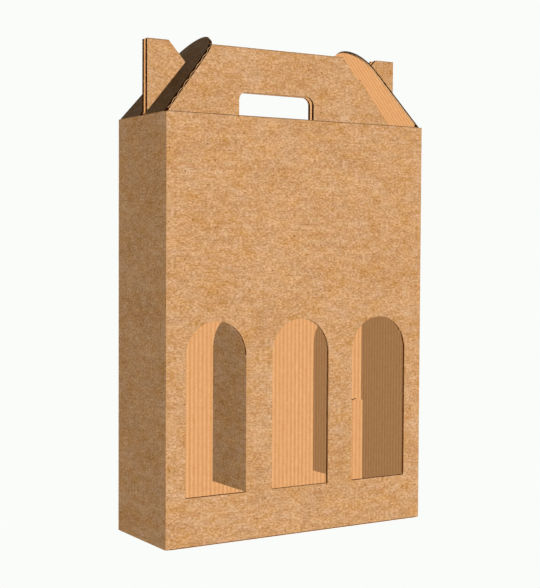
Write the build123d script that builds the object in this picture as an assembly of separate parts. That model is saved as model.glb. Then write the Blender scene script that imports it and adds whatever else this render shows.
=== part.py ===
from build123d import *
import os
from math import cos, hypot, radians, sin, tan

# A carry box for three bottles, die-cut and folded from one sheet of corrugated board.
# Origin: the middle of the footprint, on the floor. +X is the box's right, -Y its front, +Z up.
# All lengths are in millimetres, all angles in degrees.

# The board and its folds
board = 3.0             # thickness of the corrugated sheet
fold_outside = 1.0      # radius of the liner on the outside of a fold
fold_inside = 0.4       # radius of the crushed liner on the inside of a fold
kerf = 0.3              # clearance between cut edges that lie beside each other

# The body
width = 260.0           # across the front
depth = 90.0            # front to back
wall_height = 356.0     # floor to the roof's upper face
corner_inset = 4.6      # from an upright edge of the box to the end of a roof or bottom fold
corner_drop = 0.5       # how far the raw corner edges stop short of the roof and the floor

# The handle, two upright layers in the middle of the roof
handle_height = 63.3    # roof to the straight top edge
layer_gap = 3.0         # between the two layers
wing_inset = 2.85       # from the side of the box to a wing's upright edge
wing_top_edge = 20.0    # length of a wing's top edge
wing_end_angle = 42.2   # between a wing's slanted end and the upright
notch_clearance = 1.9   # between a side flap's inner face and the edge of the handle beside it
hole_width = 77.4       # hand hole
hole_sill = 2.0         # roof to the bottom of the hand hole
hole_top = 24.8         # roof to the top of the hand hole
hole_corner = 7.0       # radius of the hand hole's upper corners
hole_foot = 1.5         # radius of its lower corners

# The side flaps, slotted over the wings
flap_lean = 50.0        # between a flap and the level
flap_length = 90.3      # fold to tip, along the slope
flap_taper = 9.1        # between a flap's straight edge and its centre line
slot_dip = 2.0          # how far the round end of a slot cuts into the side panel

# The arched windows and the divider flaps folded in from the outer two
window_width = 57.5
window_height = 144.7   # sill to the top of the arch
window_sill = 40.9      # floor to the bottom of the windows
window_pitch = 83.2     # between the centre lines of neighbouring windows

# The seam at the right rear corner, where two tabs of the side panel are glued inside the back panel
tab_low = 8.0           # floor to the lower tab, roof to the upper one
tab_high = 99.2         # floor to the top of the lower tab's fold
tab_width = 32.0        # fold to free edge
tab_ear = 1.9           # rise of the tab's edge over the end of its fold
tab_ear_reach = 7.0     # side panel's inner face to the top of the ear
tab_taper = 15.0        # slope of the tab's edge beyond the ear

# The bottom, two end flaps glued across two long flaps that meet in the middle
step_start = 6.0        # side of the box to where an end flap starts to rise
step_end = 16.0         # side of the box to where it lies on the long flaps
end_flap_length = 56.0  # side of the box to its free edge
step_inside = 3.0       # inner radius of the gentle bends in the rise
seam_clearance = 0.4    # between the free edges of the two long flaps

half_width = width / 2
half_depth = depth / 2
roof = wall_height
layer_inner = layer_gap / 2
layer_outer = layer_inner + board
overcut = 1.0           # how far a cutting body reaches past the board
arch_steps = 6          # points that set out the near side of a divider flap's arch
sharp_fold = (fold_outside, fold_inside)
soft_bend = (step_inside + board, step_inside)


def folded_section(points, bends):
    """Section of a folded board: its outer face follows the points and it lies on their right.
    Each bend is a pair of radii, one for its outside and one for its inside."""
    path = [Vector(*point) for point in points]
    runs = [(end - start).normalized() for start, end in zip(path, path[1:])]
    rights = [Vector(run.Y, -run.X) for run in runs]
    inner = [path[0] + rights[0] * board]
    path_radii = []
    inner_radii = []
    for index, (outside, inside) in enumerate(bends):
        before, after = rights[index], rights[index + 1]
        inner.append(path[index + 1] + (before + after) * (board / (1 + before.dot(after))))
        turns_right = runs[index].cross(runs[index + 1]).Z < 0
        path_radii.append(outside if turns_right else inside)
        inner_radii.append(inside if turns_right else outside)
    inner.append(path[-1] + rights[-1] * board)
    corners = path + inner[::-1]
    radii = [0, *path_radii, 0, 0, *inner_radii[::-1], 0]
    return make_face(FilletPolyline(*corners, radius=radii, close=True))


def mirrored_outline(half):
    """Closed outline from the points of its left half, listed from bottom to top."""
    return make_face(Polyline(*half, *[(-x, y) for x, y in half[::-1]], close=True))


def walls():
    """The four upright panels, open at the seam in the right rear corner."""
    path = [
        (half_width, half_depth - board - kerf),
        (half_width, -half_depth),
        (-half_width, -half_depth),
        (-half_width, half_depth),
        (half_width, half_depth),
    ]
    ring = extrude(folded_section(path, [sharp_fold] * 3), roof - 2 * corner_drop)
    return Pos(0, 0, corner_drop) * ring


def seam_tab():
    """Lower glue tab: it turns in from the right side panel and lies on the back panel's inner face."""
    tab_face = half_depth - board
    path = [
        (half_width - tab_width, tab_face),
        (half_width, tab_face),
        (half_width, tab_face - board - overcut),
    ]
    inner_corner = half_width - board
    free_edge = half_width - tab_width
    slope = tan(radians(tab_taper))
    ear = inner_corner - tab_ear_reach
    fall = (ear - free_edge) * slope
    upper = [
        (half_width + overcut, tab_high),
        (inner_corner, tab_high),
        (ear, tab_high + tab_ear),
        (free_edge, tab_high + tab_ear - fall),
    ]
    lower = [(x, tab_high + tab_low - z) for x, z in upper]
    outline = make_face(Polyline(*upper, *lower[::-1], close=True))
    blank = extrude(folded_section(path, [sharp_fold]), tab_high + tab_low)
    return blank & extrude(Plane.XZ * outline, amount=depth, both=True)


def long_panel():
    """Front chain of the sheet: bottom flap, front panel, roof half and the foot of a handle layer."""
    path = [
        (-seam_clearance / 2, 0),
        (-half_depth, 0),
        (-half_depth, roof),
        (-layer_outer, roof),
        (-layer_outer, roof + hole_sill / 2),
    ]
    blank = extrude(Plane.YZ * folded_section(path, [sharp_fold] * 3), half_width - corner_inset, both=True)
    mitre_start = corner_inset - kerf
    bottom = mirrored_outline([
        (corner_inset - half_width, -half_depth - overcut),
        (corner_inset - half_width, mitre_start - half_depth),
        (step_end + kerf - half_width, step_end - half_depth),
        (step_end + kerf - half_width, 0),
    ])
    above_bottom = Pos(0, 0, roof) * Box(width, depth, 2 * (roof - 2 * board))
    return blank & (extrude(bottom, 3 * board) + above_bottom)


def handle_outline():
    """One handle layer seen from the front, with its wings, notches and hand hole, from the roof up."""
    lean = radians(flap_lean)
    slant = radians(wing_end_angle)
    wing_tip = Vector(wing_inset + wing_top_edge, handle_height)
    fall = Vector(sin(slant), -cos(slant))
    flap_normal = Vector(-sin(lean), cos(lean))
    notch_depth = board + notch_clearance
    notch = wing_tip + fall * ((wing_tip.dot(flap_normal) + notch_depth) / -fall.dot(flap_normal))
    handle_start = notch.X + (handle_height - notch.Y) / tan(lean)
    left = [
        (corner_inset, 0),
        (wing_inset, corner_inset - wing_inset),
        (wing_inset, handle_height),
        (wing_tip.X, wing_tip.Y),
        (notch.X, notch.Y),
        (handle_start, handle_height),
    ]
    layer = mirrored_outline([(x - half_width, height) for x, height in left])
    hole = Pos(0, (hole_top + hole_sill) / 2) * Rectangle(hole_width, hole_top - hole_sill)
    hole = fillet(hole.vertices().sort_by(Axis.Y)[2:], hole_corner)
    hole = fillet(hole.vertices().sort_by(Axis.Y)[:2], hole_foot)
    return layer - hole


def handle_layer():
    """Front layer of the handle, standing on the roof's fold."""
    plane = Plane(origin=(0, -layer_inner, roof), x_dir=(1, 0, 0), z_dir=(0, -1, 0))
    return extrude(plane * handle_outline(), board)


def slot_length():
    """Fold to the far end of a flap's slot, just past the place where the wing's slanted end crosses it."""
    lean = radians(flap_lean)
    tip = Vector(wing_inset + wing_top_edge, handle_height)
    along = tip.dot(Vector(cos(lean), sin(lean)))
    above = tip.dot(Vector(-sin(lean), cos(lean)))
    return along - above * tan(lean - radians(wing_end_angle)) + kerf


def flap_outline():
    """Side flap in its own plane, x along the fold and y up the slope: tapered, with a round tip."""
    root = half_depth - corner_inset
    taper = radians(flap_taper)
    tip_radius = (root - flap_length * tan(taper)) / (cos(taper) + sin(taper) * tan(taper) - tan(taper))
    shoulder_x = tip_radius * cos(taper)
    shoulder_y = flap_length - tip_radius + tip_radius * sin(taper)
    sides = Polyline(
        (-shoulder_x, shoulder_y),
        (-root, 0),
        (-root, -2 * board),
        (root, -2 * board),
        (root, 0),
        (shoulder_x, shoulder_y),
    )
    tip = ThreePointArc((shoulder_x, shoulder_y), (0, flap_length), (-shoulder_x, shoulder_y))
    return make_face(sides + tip)


def side_panel():
    """Left chain of the sheet: bottom end flap, side panel and the slotted flap that leans inwards."""
    lean = radians(flap_lean)
    path = [
        (end_flap_length - half_width, board),
        (step_end - half_width, board),
        (step_start - half_width, 0),
        (-half_width, 0),
        (-half_width, roof),
        (flap_length * cos(lean) - half_width, roof + flap_length * sin(lean)),
    ]
    bends = [soft_bend, soft_bend, sharp_fold, sharp_fold]
    root = half_depth - corner_inset
    blank = extrude(Plane.XZ * folded_section(path, bends), root, both=True)

    end_half = half_depth - step_end - kerf
    bottom = [
        (-half_width - overcut, -root),
        (corner_inset - kerf - half_width, -root),
        (step_end - half_width, -end_half),
        (end_flap_length - half_width, -end_half),
    ]
    bottom_outline = make_face(Polyline(*bottom, *[(x, -y) for x, y in bottom[::-1]], close=True))
    body = extrude(bottom_outline, roof - board)
    flap_plane = Plane(origin=(-half_width, 0, roof), x_dir=(0, -1, 0), z_dir=(-sin(lean), 0, cos(lean)))
    flap = extrude(flap_plane.offset(overcut) * flap_outline(), -3 * board)
    panel = blank & (body + flap)

    slot_radius = layer_outer + kerf
    slot_centre = slot_radius - slot_dip
    slot = Pos(0, (slot_centre + slot_length()) / 2) * Rectangle(2 * slot_radius, slot_length() - slot_centre)
    slot += Pos(0, slot_centre) * Circle(slot_radius)
    above_fold = Pos(0, flap_length / 2) * Rectangle(depth, flap_length)
    side_plane = Plane(origin=(-half_width, 0, roof), x_dir=(0, -1, 0), z_dir=(-1, 0, 0))
    below_fold = Pos(0, -board) * Rectangle(depth, 2 * board)
    panel -= extrude(flap_plane.offset(overcut) * (slot & above_fold), -3 * board)
    panel -= extrude(side_plane.offset(overcut) * (slot & below_fold), -3 * board)
    return panel


def window_outline():
    """Arched window about its own centre line."""
    radius = window_width / 2
    spring = window_sill + window_height - radius
    sides = Polyline((-radius, spring), (-radius, window_sill), (radius, window_sill), (radius, spring))
    arch = ThreePointArc((radius, spring), (0, spring + radius), (-radius, spring))
    return make_face(sides + arch)


def window(centre):
    """Body that cuts one window through the front panel."""
    plane = Plane(origin=(centre, board - half_depth + overcut, 0), x_dir=(1, 0, 0), z_dir=(0, -1, 0))
    return extrude(plane * window_outline(), board + 2 * overcut)


def hinge_span():
    """Lower and upper end of a divider flap's fold, which stops where the arch springs."""
    return window_sill, window_sill + window_height - window_width / 2


def fold_edge(board_edge, side):
    """A board's edge at the left window's fold, rounded outside and parted from the other board by a mitre.
    Side 1 keeps the flap, which lies along +Y, and side -1 the front panel, which lies along +X."""
    outer = board_edge.edges().filter_by(Axis.Z).sort_by(lambda edge: edge.center().X + edge.center().Y)[0]
    mitre = Plane(origin=(0, 0, 0), z_dir=(-side, side, 0)).offset(kerf / 2)
    return split(fillet(outer, fold_outside), mitre, keep=Keep.TOP)


def divider_outline():
    """Left window's cut-out seen from its outer face: x from the fold to the free edge, y from the floor up.
    Above the fold its near edge stands off as far as it must to swing past the panel's thickness."""
    low, high = hinge_span()
    radius = window_width / 2
    inner = radius - kerf
    near_side = []
    for step in range(arch_steps + 1):
        angle = radians(90 * step / arch_steps)
        stand_off = hypot(radius - inner * cos(angle), (board + kerf) * cos(angle))
        near_side.append((stand_off, high + inner * sin(angle)))
    edges = Spline(near_side, tangents=[(0, 1), (1, 0)])
    far_middle = (radius + inner * cos(radians(45)), high + inner * sin(radians(45)))
    edges += ThreePointArc(near_side[-1], far_middle, (radius + inner, high))
    edges += Polyline(
        (radius + inner, high),
        (radius + inner, low + kerf),
        (0, low + kerf),
        (0, high - kerf),
        (near_side[0][0], high - kerf),
        near_side[0],
    )
    return make_face(edges)


def divider_fold():
    """Place of the left divider flap's fold: the right edge of the left window, at the box's front."""
    return Pos(window_width / 2 - window_pitch, -half_depth, 0)


def divider_flap():
    """Left window's cut-out, folded in square about the window's right edge."""
    flap = extrude(Plane.YZ * divider_outline(), board)
    return divider_fold() * fold_edge(flap, 1)


def panel_fold():
    """Strip of the front panel along the left window's fold, and the space that it takes."""
    low, high = hinge_span()
    space = Pos(board, board / 2, (low + high) / 2) * Box(2 * board, board, high - low)
    return divider_fold() * fold_edge(space, -1), divider_fold() * space


def carton():
    """The folded sheet, apart from the two divider flaps that swing on it."""
    front = long_panel() + handle_layer()
    left = side_panel()
    lower_tab = seam_tab()
    upper_tab = Pos(0, 0, roof) * mirror(lower_tab, about=Plane.XY)
    sheet = walls() + front + mirror(front, about=Plane.XZ)
    sheet += left + mirror(left, about=Plane.YZ)
    sheet += lower_tab + upper_tab
    for column in (-1, 0, 1):
        sheet -= window(column * window_pitch)
    fold_strip, space = panel_fold()
    sheet -= space + mirror(space, about=Plane.YZ)
    sheet += fold_strip + mirror(fold_strip, about=Plane.YZ)
    return sheet


left_divider = divider_flap()
nodes = {
    "carton": carton(),
    "left_divider_flap": left_divider,
    "right_divider_flap": mirror(left_divider, about=Plane.YZ),
}

os.makedirs("parts", exist_ok=True)
for name, solid in nodes.items():
    export_step(solid, f"parts/{name}.step")
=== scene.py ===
from functools import reduce
from math import cos, pi, radians, sin, sqrt

import bmesh
import bpy
from mathutils import Matrix, Vector


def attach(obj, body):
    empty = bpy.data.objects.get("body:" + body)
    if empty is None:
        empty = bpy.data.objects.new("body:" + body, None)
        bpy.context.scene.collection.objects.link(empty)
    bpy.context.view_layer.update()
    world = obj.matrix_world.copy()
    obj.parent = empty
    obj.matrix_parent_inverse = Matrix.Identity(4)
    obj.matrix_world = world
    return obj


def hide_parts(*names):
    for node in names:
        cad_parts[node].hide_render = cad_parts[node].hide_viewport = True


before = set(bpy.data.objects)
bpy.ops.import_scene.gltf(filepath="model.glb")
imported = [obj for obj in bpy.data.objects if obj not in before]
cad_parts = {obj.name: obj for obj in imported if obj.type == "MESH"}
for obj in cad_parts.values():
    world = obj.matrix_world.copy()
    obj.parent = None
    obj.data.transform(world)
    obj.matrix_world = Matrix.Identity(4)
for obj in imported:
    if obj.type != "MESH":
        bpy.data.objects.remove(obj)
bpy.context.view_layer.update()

# Looks of a folded corrugated carry box. The carton and its two divider flaps are copied from the packed
# frame, and their raw edges get what a cut through corrugated board shows: two liners, and a wavy paper
# between them over hollows with painted shade. Lengths are in metres.

MM = 0.001
board = 3.0 * MM            # thickness of the corrugated sheet
liner = 0.30 * MM           # thickness of each of its two liners, as the cut shows it
hollow = 2.0 * MM           # how far the hollows between the liners are modelled inwards
set_back = 0.12 * MM        # raw edge to the paper between the liners
overlap = 0.05 * MM         # how much longer than the hollows that paper is
flute_pitch = 4.3 * MM      # one wave of the paper in the middle
medium = 0.13 * MM          # half the thickness of that paper
thickest = 1.8              # most that its slope thickens it in the cut
wave_height = 1.05 * MM     # how far the wave swings to either side of the middle
rested = 0.20 * MM          # half the thickness of the paper that lies on the inner liner beside a window
slant_pitch = 10.0 * MM     # one wave where a side flap is cut nearly along the flutes
panel_step = 128 * flute_pitch  # between the places of two numbered panels on the flat sheet
wave_steps = 10             # samples for one wave along an edge
depth_steps = 3             # samples of the wave inwards
side = 0.130                # half the width, to the outer face
front = 0.045               # half the depth, to the outer face
roof = 0.356                # floor to the roof's upper face
lean = radians(50)          # between a side flap and the level
layer = 0.0045              # middle of the box to a handle layer's outer face
divider = 0.05445           # middle of the box to a divider flap's outer face
ridge = 0.4193              # floor to the straight top of the handle
ridge_line_height = 0.7 * MM              # height of the painted shade along the handle's upper edge
fold_line_half = 0.9 * MM           # half the height of the painted shade line along the roof's fold
notch_from = 85.0 * MM      # middle of the box to where the ends of the notches beside the handle begin
notch_to = 93.0 * MM        # and to where they end
notch_top = 0.4008          # floor to the height that they stay under
tolerance = 0.02 * MM
weld = 0.002 * MM           # points closer than this are one
same_plane = 0.002          # most that the normals of joined triangles differ by
square = 0.05               # largest cosine between directions that count as square to each other
aligned = 0.99              # smallest cosine between directions that count as the same
alike = 4.0 * MM            # how much nearer a flat part counts that faces the same way
sloping = 0.12              # share of a cut's length across the flutes from which it shows the wave
sharpest = 0.35             # keeps the step at a sharp corner short

# Crushed wave in the side flaps' cuts: its shift towards the inner liner, its height and half its thickness
crushed = {
    "left_flap": (0.30 * MM, 0.54 * MM, 0.27 * MM),
    "right_flap": (0.38 * MM, 0.06 * MM, 0.76 * MM),
}

X, Y, Z = Vector((1, 0, 0)), Vector((0, 1, 0)), Vector((0, 0, 1))
# Material slots. The hollow and the fold slots carry painted shade.
OUTER, INNER, EDGE, HOLLOW_SHADE, SHADED_FOLD = range(5)


def panels():
    """Flat parts of the sheet. Out is the outward direction of the outer liner and face its distance from the
    origin. Across runs over the flutes and along runs with them. The limits are planes where raw edges end at
    a fold or are divided, and the region keeps neighbours apart."""
    slope_l = Vector((cos(lean), 0, sin(lean)))
    slope_r = Vector((-cos(lean), 0, sin(lean)))
    out_l = Vector((-sin(lean), 0, cos(lean)))
    out_r = Vector((sin(lean), 0, cos(lean)))
    corner_l, corner_r = Vector((-side, 0, roof)), Vector((side, 0, roof))
    flap_face = out_l.dot(corner_l)
    inside = board / 2
    reach = 4.2 * MM            # outside of a fold to the flat part beside it
    foot = 1.7 * MM             # the same at the handle's fold
    step = 17.5 * MM            # side of the box to the flat part of an end flap
    step_from, step_to = 0.06, 0.115  # middle of the box to beyond both ends of that part
    tab_from = 0.09             # middle of the box to past the seam tab's free edge
    tab_front = 0.03            # and to in front of the tab
    upright = [(Z * reach, Z), (Z * (roof - reach), Z)]
    crossing = [(Y * sign * place, Y) for sign in (-1, 1) for place in (front - reach, layer + foot)]
    standing = [(Z * (roof + foot), Z), (Z * notch_top, Z)]
    flap_l, flap_r = [(corner_l + slope_l * reach, slope_l)], [(corner_r + slope_r * reach, slope_r)]
    lying = [(Y * sign * (front - reach), Y) for sign in (-1, 1)]
    stepped = [(X * sign * (side - step), X) for sign in (-1, 1)]
    rows = [
        ("front", -Y, front, X, Z, upright, lambda p: p.y < -front + board + inside and p.z > inside),
        ("back", Y, front, X, Z, upright, lambda p: p.y > front - board and p.z > inside),
        ("left", -X, side, Y, Z, upright,
         lambda p: p.x < -side + 2 * board and inside < p.z < roof - inside),
        ("right", X, side, Y, Z, upright,
         lambda p: p.x > side - 2 * board and inside < p.z < roof - inside),
        ("roof", Z, roof, X, Y, crossing, lambda p: abs(p.x) < side - board and p.z > roof - 2 * board),
        ("front_layer", -Y, layer, X, Z, standing, lambda p: p.z > roof and p.y < 0),
        ("back_layer", Y, layer, X, Z, standing, lambda p: p.z > roof and p.y > 0),
        ("left_flap", out_l, flap_face, Y, slope_l, flap_l, lambda p: p.z > roof - board and p.x < 0),
        ("right_flap", out_r, flap_face, Y, slope_r, flap_r, lambda p: p.z > roof - board and p.x > 0),
        ("floor_flap", -Z, 0.0, X, Y, lying, lambda p: p.z < board + inside),
        ("end_flap", -Z, -board, Y, X, stepped,
         lambda p: p.z < 2 * board + inside and step_from < abs(p.x) < step_to),
        ("tab", Y, front - board, X, Z, [(X * (side - reach), X)],
         lambda p: p.x > tab_from and p.y > tab_front),
        ("left_divider", -X, divider, Y, Z, [(Y * (reach - front), Y)], lambda p: True),
        ("right_divider", X, divider, Y, Z, [(Y * (reach - front), Y)], lambda p: True),
    ]
    names = ("name", "out", "face", "across", "along", "limits", "region")
    return [dict(zip(names, row), number=number) for number, row in enumerate(rows)]


PANELS = panels()
HANDLE = [panel["number"] for panel in PANELS if "layer" in panel["name"] or panel["name"] in crushed]


def depth_in(panel, point):
    """How deep a point is under the panel's outer liner."""
    return panel["face"] - panel["out"].dot(point)


def on_level(value, level):
    return abs(value - level) < tolerance


def place_key(point):
    return tuple(round(value / tolerance) for value in point)


def cut_faces(mesh, panel):
    """Faces that cross the board's thickness: the raw edges of this panel."""
    found = []
    for face in mesh.faces:
        if abs(face.normal.dot(panel["out"])) > square:
            continue
        depths = [depth_in(panel, vertex.co) for vertex in face.verts]
        if not all(on_level(d, 0) or on_level(d, board) for d in depths):
            continue
        if max(depths) - min(depths) < board / 2 or not panel["region"](face.calc_center_median()):
            continue
        found.append(face)
    return found


def stands_across(face, panel):
    """Whether a face is a cut through the board's thickness, beside this panel or in one of its folds."""
    if abs(face.normal.dot(panel["out"])) > square or not panel["region"](face.calc_center_median()):
        return False
    return all(-tolerance < depth_in(panel, vertex.co) < board + tolerance for vertex in face.verts)


def raw_faces(mesh, panel):
    return [face for face in mesh.faces if stands_across(face, panel)]


def part_raw_edges(mesh, panel):
    """Join the triangles of each flat raw edge, and cut it where the panel's folds begin."""
    chosen = set(raw_faces(mesh, panel))
    inner = []
    for edge in mesh.edges:
        sides = edge.link_faces
        if len(sides) == 2 and all(face in chosen for face in sides):
            if (sides[0].normal - sides[1].normal).length < same_plane:
                inner.append(edge)
    bmesh.ops.dissolve_edges(mesh, edges=inner, use_verts=False, use_face_split=False)
    for point, direction in panel["limits"]:
        near = raw_faces(mesh, panel)
        edges = {edge for face in near for edge in face.edges}
        verts = {vertex for face in near for vertex in face.verts}
        geometry = list(verts) + list(edges) + near
        bmesh.ops.bisect_plane(mesh, geom=geometry, dist=0.001 * MM, plane_co=point, plane_no=direction)
    for face in mesh.faces:
        face.normal_update()


def outline_chains(panel, faces):
    """Runs of the raw edge along the outer liner, each with whether it closes. A run is a list of its
    straight pieces: start, end and outward normal."""
    chosen = set(faces)
    runs = []
    for face in faces:
        for edge in face.edges:
            ends = [vertex.co.copy() for vertex in edge.verts]
            if not all(on_level(depth_in(panel, point), 0) for point in ends):
                continue
            if sum(1 for other in edge.link_faces if other in chosen) == 1:
                runs.append((ends[0], ends[1], face.normal.copy()))
    oriented = []
    for start, end, normal in runs:
        turn = panel["out"].cross(normal).dot(end - start)
        oriented.append((start, end, normal) if turn > 0 else (end, start, normal))
    starts = {place_key(run[0]): run for run in oriented}
    ends = {place_key(run[1]) for run in oriented}
    chains = []
    left = dict(starts)
    heads = [key for key in starts if key not in ends]
    while left:
        head = next((key for key in heads if key in left), None)
        first = head if head is not None else next(iter(left))
        chain = []
        at = first
        while at in left:
            run = left.pop(at)
            chain.append(run)
            at = place_key(run[1])
        chains.append((chain, head is None and at == first))
    return chains


def mitre(before, after):
    """Inward step of one unit at the meeting of two edges."""
    return -(before + after) / max(sharpest, 1 + before.dot(after))


def paper_at(panel, turn, plain):
    """How deep the middle of the wavy paper is under the outer liner, and half its thickness in the cut. A
    crushed wave is a row of arches, and beside the windows the paper rests on the inner liner."""
    if panel["name"] in crushed:
        shift, height, half = crushed[panel["name"]]
        return board / 2 + shift + height * (1 - 2 * abs(sin(turn / 2 + 0.75 * pi))), half
    if plain and panel["name"] == "front":
        return board - liner - 0.9 * rested, rested
    slope = wave_height * 2 * pi / flute_pitch * cos(turn)
    return board / 2 + wave_height * sin(turn), min(medium * sqrt(1 + slope * slope), thickest * medium)


def ribbon(target, panel, chain, closed):
    """Wavy paper of the board's middle along one run of raw edge, as a closed thin sheet in the hollow. Plain
    stretches run along the flutes and show no wave. The rest of the sheet carries the hollows' painted shade,
    and so does its front edge on plain stretches outside the front panel; elsewhere that edge is raw paper."""
    across = panel["across"]
    count = len(chain)
    stations = []
    phase = 2 * pi * chain[0][0].dot(across) / flute_pitch
    for index, (start, end, normal) in enumerate(chain):
        before = chain[index - 1][2] if index or closed else normal
        after = chain[(index + 1) % count][2] if index < count - 1 or closed else normal
        step_in, step_out = mitre(before, normal), mitre(normal, after)
        length = (end - start).length
        waves = (end - start).dot(across) / flute_pitch
        plain = abs(waves) * flute_pitch < sloping * length
        if panel["name"] in crushed and abs(waves) < length / slant_pitch:
            waves = length / slant_pitch
        pieces = max(1, int(abs(waves) * wave_steps + 0.999))
        for piece in range(pieces):
            share = piece / pieces
            turn = phase + 2 * pi * waves * share
            stations.append((start.lerp(end, share), step_in.lerp(step_out, share), turn, plain))
        phase += 2 * pi * waves
        if index == count - 1 and not closed:
            stations.append((end, step_out, phase, plain))
    if len(stations) < 2:
        return
    depths = [set_back + (hollow + overlap) * row / depth_steps for row in range(depth_steps + 1)]
    rows = []
    for place, step, turn, plain in stations:
        column = []
        middle, half = paper_at(panel, turn, plain)
        for depth in depths:
            point = place + step * depth
            upper = target.verts.new(point - panel["out"] * (middle - half))
            lower = target.verts.new(point - panel["out"] * (middle + half))
            column.append((upper, lower))
        rows.append(column)
    pairs = [(rows[k], rows[k + 1], stations[k][3]) for k in range(len(rows) - 1)]
    if closed:
        pairs.append((rows[-1], rows[0], stations[-1][3]))
    made = []
    lips = []
    for one, two, plain in pairs:
        for k in range(depth_steps):
            made.append((one[k][0], one[k + 1][0], two[k + 1][0], two[k][0]))
            made.append((one[k][1], two[k][1], two[k + 1][1], one[k + 1][1]))
        # Painted shade on the front edge where it runs along the flutes, except in the front panel.
        dark = plain and panel["name"] != "front"
        (made if dark else lips).append((one[0][0], two[0][0], two[0][1], one[0][1]))
        made.append((one[-1][0], one[-1][1], two[-1][1], two[-1][0]))
    if not closed:
        for column, flip in ((rows[0], False), (rows[-1], True)):
            for k in range(depth_steps):
                face = (column[k][0], column[k][1], column[k + 1][1], column[k + 1][0])
                made.append(face[::-1] if flip else face)
    for corners in lips + made:
        face = target.faces.new(corners)
        face.material_index = EDGE if corners in lips else HOLLOW_SHADE
        face[target.faces.layers.int["panel"]] = panel["number"]


def shows_liner(face, panel):
    """Whether a new face is a liner's inner side at the end of a notch, where it catches the light."""
    face.normal_update()
    place = face.calc_center_median()
    at_end = notch_from < abs(place.x) < notch_to and roof < place.z < notch_top
    return at_end and face.normal.dot(panel["out"]) > aligned


def open_raw_edge(mesh, panel, faces):
    """Keep a liner's rim along both sides of the raw edge and sink what lies between. Where the cut runs
    along the flutes, and on the outside of a crushed cut, the rim carries the hollows' painted shade; beside
    the windows only the outer rim along the flutes does. The sunk walls carry it too, but for a liner's inner
    side at the end of a notch."""
    rim = bmesh.ops.inset_region(
        mesh, faces=faces, thickness=liner, depth=0, use_even_offset=True, use_boundary=True)
    number = mesh.faces.layers.int["panel"]
    turned = mesh.faces.layers.int["turned"]
    for face in rim["faces"]:
        along_flutes = abs(face.normal.dot(panel["across"])) > aligned
        outside = depth_in(panel, face.calc_center_median()) < board / 2
        if panel["name"] == "front":
            rim_shaded = along_flutes and outside
        else:
            rim_shaded = along_flutes or (outside and panel["name"] in crushed)
        face.material_index = HOLLOW_SHADE if rim_shaded else EDGE
        face[number] = panel["number"]
        face[turned] = 0
    normals = {}
    for face in faces:
        for vertex in face.verts:
            known = normals.setdefault(place_key(vertex.co), [])
            if all((face.normal - other).length > 0.001 for other in known):
                known.append(face.normal.copy())
    before = set(mesh.faces)
    verts = {vertex for face in faces for vertex in face.verts}
    edges = {edge for face in faces for edge in face.edges}
    grown = bmesh.ops.extrude_face_region(mesh, geom=faces + list(edges) + list(verts))
    for vertex in [item for item in grown["geom"] if isinstance(item, bmesh.types.BMVert)]:
        known = normals[place_key(vertex.co)]
        vertex.co += mitre(known[0], known[-1]) * hollow
    loose = [edge for edge in mesh.edges if not edge.link_faces]
    bmesh.ops.delete(mesh, geom=loose, context="EDGES")
    # The sunk walls get the hollows' painted shade.
    for face in mesh.faces:
        if face not in before:
            face.material_index = EDGE if shows_liner(face, panel) else HOLLOW_SHADE
            face[number] = panel["number"]
            face[turned] = 0


def panel_of(face, panels_here):
    """The flat part that a face lies on, and whether it is its outer or inner liner."""
    centre = face.calc_center_median()
    for panel in panels_here:
        if not panel["region"](centre):
            continue
        for level, kind in ((0, OUTER), (board, INNER)):
            if all(on_level(depth_in(panel, vertex.co), level) for vertex in face.verts):
                return panel, kind
    return None, None


def nearest_panel(face, panels_here):
    """The flat part that a face in a fold or raw edge belongs to: near, and preferably facing its way."""
    centre = face.calc_center_median()
    best = None
    for panel in panels_here:
        if not panel["region"](centre):
            continue
        away = abs(depth_in(panel, centre) - board / 2) - abs(face.normal.dot(panel["out"])) * alike
        if best is None or away < best[0]:
            best = (away, panel)
    return best[1] if best else panels_here[0]


FLAT_OUT, FLAT_IN, UPRIGHT = 1, 2, 3


def shading_normal(face, number, turned):
    """Flat over each liner, and turning at once in the middle of an upright fold."""
    out = PANELS[face[number]]["out"]
    if face[turned] == FLAT_OUT:
        return tuple(out)
    if face[turned] == FLAT_IN:
        return tuple(-out)
    if face[turned] == UPRIGHT:
        x, y, _ = face.normal
        return (float(x > 0) * 2 - 1, 0.0, 0.0) if abs(x) > abs(y) else (0.0, float(y > 0) * 2 - 1, 0.0)
    return tuple(face.normal)


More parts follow.
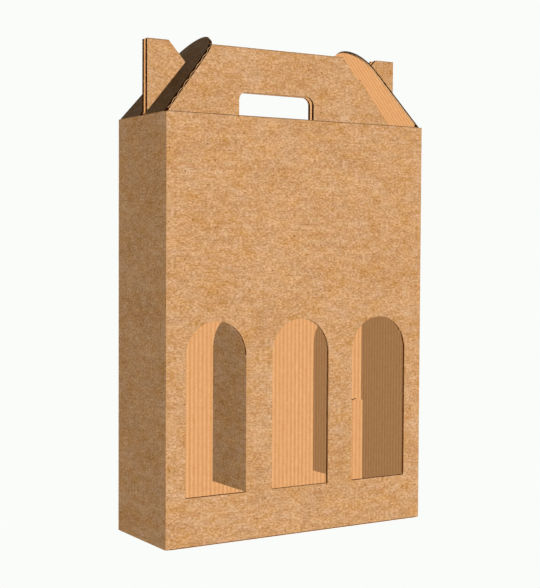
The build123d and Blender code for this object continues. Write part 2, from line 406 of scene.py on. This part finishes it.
def dress(node, body, panels_here, finishes):
    """Copy of a CAD node with its raw edges opened, its faces sorted and its sheet coordinates set."""
    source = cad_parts[node]
    mesh = bmesh.new()
    mesh.from_mesh(source.data)
    bmesh.ops.remove_doubles(mesh, verts=mesh.verts, dist=weld)
    for panel in panels_here:
        part_raw_edges(mesh, panel)
    mesh.faces.layers.int.new("panel")
    mesh.faces.layers.int.new("turned")
    number, turned = mesh.faces.layers.int["panel"], mesh.faces.layers.int["turned"]
    for face in mesh.faces:
        panel, kind = panel_of(face, panels_here)
        if panel is not None:
            face.material_index = kind
            face[number] = panel["number"]
            face[turned] = FLAT_OUT if kind == OUTER else FLAT_IN
            continue
        face[number] = nearest_panel(face, panels_here)["number"]
        # A cut through the board gets the hollows' painted shade.
        if any(stands_across(face, near) for near in panels_here):
            face.material_index = HOLLOW_SHADE
        elif abs(face.normal.z) < square and board < face.calc_center_median().z < roof - board:
            face.material_index = OUTER
            face[turned] = UPRIGHT
        else:
            # Other fold faces get the darker fold material: painted shade.
            face.material_index = SHADED_FOLD
    ribbons = bmesh.new()
    ribbons.faces.layers.int.new("panel")
    ribbons.faces.layers.int.new("turned")
    for panel in panels_here:
        faces = cut_faces(mesh, panel)
        if not faces:
            continue
        for chain, closed in outline_chains(panel, faces):
            ribbon(ribbons, panel, chain, closed)
        open_raw_edge(mesh, panel, faces)
    ribbons.normal_update()
    bmesh.ops.recalc_face_normals(ribbons, faces=ribbons.faces)
    open_edges = sum(1 for edge in mesh.edges if len(edge.link_faces) != 2)
    joined = bpy.data.meshes.new(node + "_ribbons")
    ribbons.to_mesh(joined)
    mesh.from_mesh(joined)
    bpy.data.meshes.remove(joined)
    ribbons.free()
    mesh.normal_update()
    sheet = mesh.loops.layers.uv.new("sheet")
    number, turned = mesh.faces.layers.int["panel"], mesh.faces.layers.int["turned"]
    normals = [shading_normal(face, number, turned) for face in mesh.faces for _ in face.verts]
    for face in mesh.faces:
        panel = PANELS[face[number]]
        shift = panel_step * panel["number"]
        for loop in face.loops:
            place = loop.vert.co
            loop[sheet].uv = (place.dot(panel["across"]) + shift, place.dot(panel["along"]))
    made = bpy.data.meshes.new(node + "_board")
    mesh.to_mesh(made)
    made.shade_smooth()
    made.normals_split_custom_set(normals)
    print(node, "triangles", sum(len(face.verts) - 2 for face in mesh.faces), "open edges", open_edges)
    mesh.free()
    piece = bpy.data.objects.new(node + "_board", made)
    bpy.context.scene.collection.objects.link(piece)
    for material in finishes:
        made.materials.append(material)
    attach(piece, body)
    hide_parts(node)


# Materials

def linear(*levels):
    """Colour from levels of 0 to 255 as seen on screen."""
    shares = [level / 255 for level in levels]
    return tuple(((s + 0.055) / 1.055) ** 2.4 if s > 0.04045 else s / 12.92 for s in shares) + (1.0,)


class Nodes:
    """Short forms for making a material's nodes."""

    def __init__(self, name):
        self.material = bpy.data.materials.new(name)
        self.material.use_nodes = True
        self.tree = self.material.node_tree
        self.shader = self.tree.nodes["Principled BSDF"]

    def add(self, kind, **settings):
        node = self.tree.nodes.new(kind)
        for name, value in settings.items():
            setattr(node, name, value)
        return node

    def link(self, source, target):
        self.tree.links.new(source, target)

    def feed(self, socket, value):
        if isinstance(value, bpy.types.NodeSocket):
            self.link(value, socket)
        else:
            socket.default_value = value

    def math(self, operation, *values, clamp=False):
        node = self.add("ShaderNodeMath", operation=operation, use_clamp=clamp)
        for socket, value in zip(node.inputs, values):
            self.feed(socket, value)
        return node.outputs[0]

    def total(self, *parts):
        return reduce(lambda value, part: self.math("ADD", value, part), parts)

    def product(self, *parts):
        return reduce(lambda value, part: self.math("MULTIPLY", value, part), parts)

    def sheet(self, across, along):
        """Place on the flat sheet, measured in the given lengths."""
        source = self.add("ShaderNodeUVMap", uv_map="sheet")
        scaled = self.add("ShaderNodeVectorMath", operation="MULTIPLY")
        self.link(source.outputs[0], scaled.inputs[0])
        scaled.inputs[1].default_value = (1 / across, 1 / along, 0)
        return scaled.outputs[0]

    def place(self, axis, unit=1.0):
        """Place across the flutes, axis 0, or along them, axis 1, measured in a unit."""
        parts = self.add("ShaderNodeSeparateXYZ")
        self.link(self.sheet(unit, unit), parts.inputs[0])
        return parts.outputs[axis]

    def noise(self, across, along, detail=2.0, roughness=0.6):
        """Noise about zero whose patches have the given size on the sheet."""
        node = self.add("ShaderNodeTexNoise", noise_dimensions="2D")
        self.link(self.sheet(across, along), node.inputs["Vector"])
        node.inputs["Scale"].default_value = 1.0
        node.inputs["Detail"].default_value = detail
        node.inputs["Roughness"].default_value = roughness
        return self.math("SUBTRACT", node.outputs[0], 0.5)

    def stripes(self):
        """Wave of the flutes, -1 to 1, that shows through a liner."""
        return self.math("SINE", self.place(0, flute_pitch / (2 * pi)))

    def specks(self, across, along, reach):
        """Small ragged spots, one to a cell of the given size, and a chance of 0 to 1 for each. The reach is
        a spot's radius as a share of its cell."""
        ragged = self.add("ShaderNodeTexNoise", noise_dimensions="2D")
        self.link(self.sheet(across / 6, along / 6), ragged.inputs["Vector"])
        ragged.inputs["Scale"].default_value = 1.0
        moved = self.add("ShaderNodeVectorMath", operation="MULTIPLY_ADD")
        self.link(ragged.outputs["Color"], moved.inputs[0])
        moved.inputs[1].default_value = (2.2 * reach, 2.2 * reach, 0.0)
        self.link(self.sheet(across, along), moved.inputs[2])
        cells = self.add("ShaderNodeTexVoronoi", voronoi_dimensions="2D", feature="F1")
        self.link(moved.outputs[0], cells.inputs["Vector"])
        cells.inputs["Scale"].default_value = 1.0
        parts = self.add("ShaderNodeSeparateColor")
        self.link(cells.outputs["Color"], parts.inputs[0])
        share = self.math("DIVIDE", cells.outputs["Distance"], reach)
        spot = self.math("MULTIPLY", self.math("SUBTRACT", 1.15, share), 2.5, clamp=True)
        return spot, parts.outputs[0]

    def ramp(self, value, dark, base, light):
        """Colour for a value from 0, dark, over a half to 1, light."""
        node = self.add("ShaderNodeValToRGB")
        self.link(value, node.inputs[0])
        elements = node.color_ramp.elements
        elements.new(0.5)
        for element, colour in zip(elements, (dark, base, light)):
            element.color = colour
        return node.outputs[0]

    def blend(self, factor, first, second):
        node = self.add("ShaderNodeMix", data_type="RGBA")
        self.feed(node.inputs[0], factor)
        self.feed(node.inputs[6], first)
        self.feed(node.inputs[7], second)
        return node.outputs[2]

    def bump(self, height, distance):
        node = self.add("ShaderNodeBump")
        node.inputs["Strength"].default_value = 1.0
        node.inputs["Distance"].default_value = distance
        self.link(height, node.inputs["Height"])
        self.link(node.outputs[0], self.shader.inputs["Normal"])

    def finish(self, colour, roughness, specular=0.12):
        self.feed(self.shader.inputs["Base Color"], colour)
        self.shader.inputs["Roughness"].default_value = roughness
        self.shader.inputs["Specular IOR Level"].default_value = specular
        return self.material


def kraft_grain(n):
    """Mottling of the outer liner in three sizes, stretched across the flutes, about a half."""
    fine = n.product(n.noise(2.8 * MM, 1.5 * MM, 2.0, 0.7), 1.9)
    middle = n.product(n.noise(12 * MM, 5 * MM, 3.0, 0.65), 0.95)
    large = n.product(n.noise(56 * MM, 26 * MM, 2.0, 0.5), 0.44)
    return n.total(fine, middle, large, 0.5)


def near_line(n, shade, lowest, highest):
    """Shade as a factor between two places along the flutes, one elsewhere."""
    place = n.place(1)
    above = n.math("GREATER_THAN", place, lowest)
    below = n.math("LESS_THAN", place, highest)
    return n.math("SUBTRACT", 1.0, n.product(above, below, 1.0 - shade))


def kraft_outer(name, dark, base, light):
    """Outer liner: mottled, with drifting tint, dark fibres and specks, light flecks, and painted shade in
    lines along the roof's fold and the handle's upper edge."""
    n = Nodes(name)
    grain = kraft_grain(n)
    fleck = n.product(n.noise(7 * MM, 3.4 * MM, 2.0, 0.6), 0.08)
    patch = n.product(n.noise(24 * MM, 13 * MM, 3.0, 0.65), 0.28)
    ruddy = n.product(n.noise(9 * MM, 5 * MM, 2.0, 0.6), 0.014)
    tinted = n.add("ShaderNodeHueSaturation")
    n.feed(tinted.inputs["Saturation"], n.total(fleck, patch, 1.0))
    n.feed(tinted.inputs["Hue"], n.total(ruddy, 0.5))
    n.feed(tinted.inputs["Color"], n.ramp(grain, dark, base, light))
    fibres = n.math("GREATER_THAN", n.noise(6 * MM, 0.55 * MM, 1.0, 0.5), 0.235)
    colour = n.blend(n.product(fibres, 0.35), tinted.outputs[0], dark)

    near, chance = n.specks(7 * MM, 6 * MM, 0.085)
    faint = n.product(n.math("GREATER_THAN", chance, 0.6), 0.4)
    strong = n.product(n.math("GREATER_THAN", chance, 0.9), 0.5)
    colour = n.blend(n.product(near, n.total(faint, strong)), colour, linear(116, 66, 24))

    near, chance = n.specks(3.0 * MM, 2.5 * MM, 0.17)
    clustered = n.math("GREATER_THAN", n.noise(26 * MM, 20 * MM, 2.0, 0.6), 0.01)
    chosen = n.product(n.math("GREATER_THAN", chance, 0.7), clustered)
    colour = n.blend(n.product(near, chosen, 0.55), colour, linear(252, 214, 184))

    # Painted shade: a line along the roof's fold and one along the handle's upper edge.
    fold_line_shade = near_line(n, 0.7, roof - fold_line_half, roof + fold_line_half)
    ridge_line_shade = near_line(n, 0.55, ridge - ridge_line_height, 1.0)
    lined = n.add("ShaderNodeVectorMath", operation="SCALE")
    n.link(colour, lined.inputs[0])
    n.link(n.product(fold_line_shade, ridge_line_shade), lined.inputs["Scale"])
    n.bump(n.total(n.product(grain, 0.6), n.product(n.stripes(), 0.03)), 0.03 * MM)
    return n.finish(lined.outputs[0], 0.82)


def kraft_inner(name):
    """Inner liner: the flutes show through it in stripes of drifting strength."""
    n = Nodes(name)
    drift = n.total(n.product(n.noise(17 * MM, 400 * MM, 1.0, 0.5), 1.1), 1.0)
    wave = n.product(n.stripes(), 0.20, drift)
    grain = n.product(n.noise(1.6 * MM, 14 * MM, 2.0, 0.6), 0.34)
    mottle = n.product(n.noise(5 * MM, 5 * MM, 3.0, 0.6), 0.34)
    fine = n.product(n.noise(1.5 * MM, 1.3 * MM, 1.0, 0.6), 0.45)
    value = n.total(wave, grain, mottle, fine, 0.5)
    n.bump(value, 0.01 * MM)
    return n.finish(n.ramp(value, linear(215, 142, 79), linear(232, 169, 110), linear(249, 196, 141)), 0.8)


def raw_paper(name):
    """Cut edges of the liners and of the paper between them."""
    n = Nodes(name)
    grain = n.total(n.product(n.noise(0.8 * MM, 0.8 * MM, 2.0, 0.7), 1.6), 0.5)
    n.bump(grain, 0.05 * MM)
    return n.finish(n.ramp(grain, linear(180, 128, 82), linear(226, 172, 118), linear(246, 204, 156)), 0.9)


def painted_hollow_shade(name):
    """Painted shade for the hollows of a cut and for what is drawn dark in them: nearly black in the handle's
    layers and the side flaps, and brown in the other panels.
    """
    n = Nodes(name)
    grain = n.total(n.product(n.noise(1.5 * MM, 1.5 * MM, 1.0, 0.6), 1.2), 0.5)
    dark = n.ramp(grain, linear(26, 11, 3), linear(48, 23, 8), linear(72, 38, 16))
    brown = n.ramp(grain, linear(70, 34, 8), linear(92, 48, 12), linear(118, 66, 24))
    number = n.place(0, panel_step)
    after = n.math("GREATER_THAN", number, min(HANDLE) - 0.5)
    before = n.math("LESS_THAN", number, max(HANDLE) + 0.5)
    return n.finish(n.blend(n.product(after, before), brown, dark), 0.95, 0.0)


outer = kraft_outer("kraft_outer", linear(186, 130, 72), linear(209, 158, 107), linear(232, 186, 142))
# The folds' outer liner: the same paper, darker all over as painted shade.
fold = kraft_outer("kraft_fold_painted_shade", linear(150, 100, 54), linear(180, 130, 82), linear(206, 158, 112))
papers = [outer, kraft_inner("kraft_inner"), raw_paper("raw_edge"), painted_hollow_shade("flute_hollow_painted_shade"), fold]

dress("carton", "box", [panel for panel in PANELS if "divider" not in panel["name"]], papers)
for body in ("left_divider", "right_divider"):
    dress(body + "_flap", body, [panel for panel in PANELS if panel["name"] == body], papers)


# Camera, set from the box's own edges in the photograph

eye = Vector((-0.6009, -0.96156, 0.24741))
yaw, pitch, roll = radians(31.847), radians(-2.134), radians(0.297)
level_right = Vector((cos(yaw), -sin(yaw), 0))
ahead = cos(pitch) * Vector((sin(yaw), cos(yaw), 0)) + sin(pitch) * Z
level_up = level_right.cross(ahead)
right = cos(roll) * level_right + sin(roll) * level_up
up = cos(roll) * level_up - sin(roll) * level_right
lens = bpy.data.cameras.new("photo_camera")
lens.sensor_fit = "VERTICAL"
lens.sensor_height = 36.0
lens.lens = 78.25
lens.clip_start = 0.05
lens.clip_end = 60.0
camera = bpy.data.objects.new("photo_camera", lens)
bpy.context.scene.collection.objects.link(camera)
turn = Matrix((right, up, -ahead)).transposed()
camera.matrix_world = Matrix.Translation(eye) @ turn.to_4x4()
bpy.context.scene.camera = camera


# Floor and backdrop, one pale tone

def pale(name):
    """Glowing material, which is the same from every side."""
    material = bpy.data.materials.new(name)
    material.use_nodes = True
    tree = material.node_tree
    tree.nodes.clear()
    glow = tree.nodes.new("ShaderNodeEmission")
    glow.inputs[0].default_value = linear(250, 252, 249)
    target = tree.nodes.new("ShaderNodeOutputMaterial")
    tree.links.new(glow.outputs[0], target.inputs[0])
    return material


def shown_only(obj):
    """Seen by the camera, but lighting nothing and shading nothing."""
    obj.visible_diffuse = False
    obj.visible_glossy = False
    obj.visible_transmission = False
    obj.visible_shadow = False


bpy.ops.mesh.primitive_circle_add(vertices=96, radius=11.9, fill_type="NGON", location=(0, 0, -0.0004))
floor = bpy.context.object
floor.name = "floor"
floor.data.materials.append(pale("floor_tone"))
shown_only(floor)
bpy.ops.mesh.primitive_uv_sphere_add(segments=64, ring_count=32, radius=12, location=(0, 0, 0))
backdrop = bpy.context.object
backdrop.name = "backdrop"
backdrop.data.materials.append(pale("backdrop_tone"))
shown_only(backdrop)


# Light. The photograph is a drawn picture without shadows, so only the fill casts any. The key reaches the
# front and the left side, the sky what faces up and left, the fill the back and the right side, and the even
# light what faces up and right.

def sun(name, toward, strength, softness, shadow):
    """Even light from one side: toward points from the box to the light, and the softness is in degrees."""
    data = bpy.data.lights.new(name, "SUN")
    data.energy = strength * pi
    data.angle = radians(softness)
    data.use_shadow = shadow
    obj = bpy.data.objects.new(name, data)
    obj.rotation_euler = Vector(toward).to_track_quat("Z", "Y").to_euler()
    bpy.context.scene.collection.objects.link(obj)
    return obj


ambient = 0.05
key = Vector((-0.425, -0.95, -0.986))
sun("key", key, key.length, 10, False)
sun("sky", (-0.5, 0, 0.86), 0.05, 30, False).data.color = (0.88, 0.97, 1.0)
sun("fill", (0.40, 0.88, 0.25), 0.65, 30, True)
sun("even", (0.63, 0.13, 0.766), 0.56, 10, False)
world = bpy.data.worlds.new("studio")
bpy.context.scene.world = world
world.use_nodes = True
world.node_tree.nodes["Background"].inputs[0].default_value = (1, 1, 1, 1)
world.node_tree.nodes["Background"].inputs[1].default_value = ambient
bpy.context.scene.view_settings.view_transform = "Standard"
bpy.context.scene.cycles.diffuse_bounces = 0

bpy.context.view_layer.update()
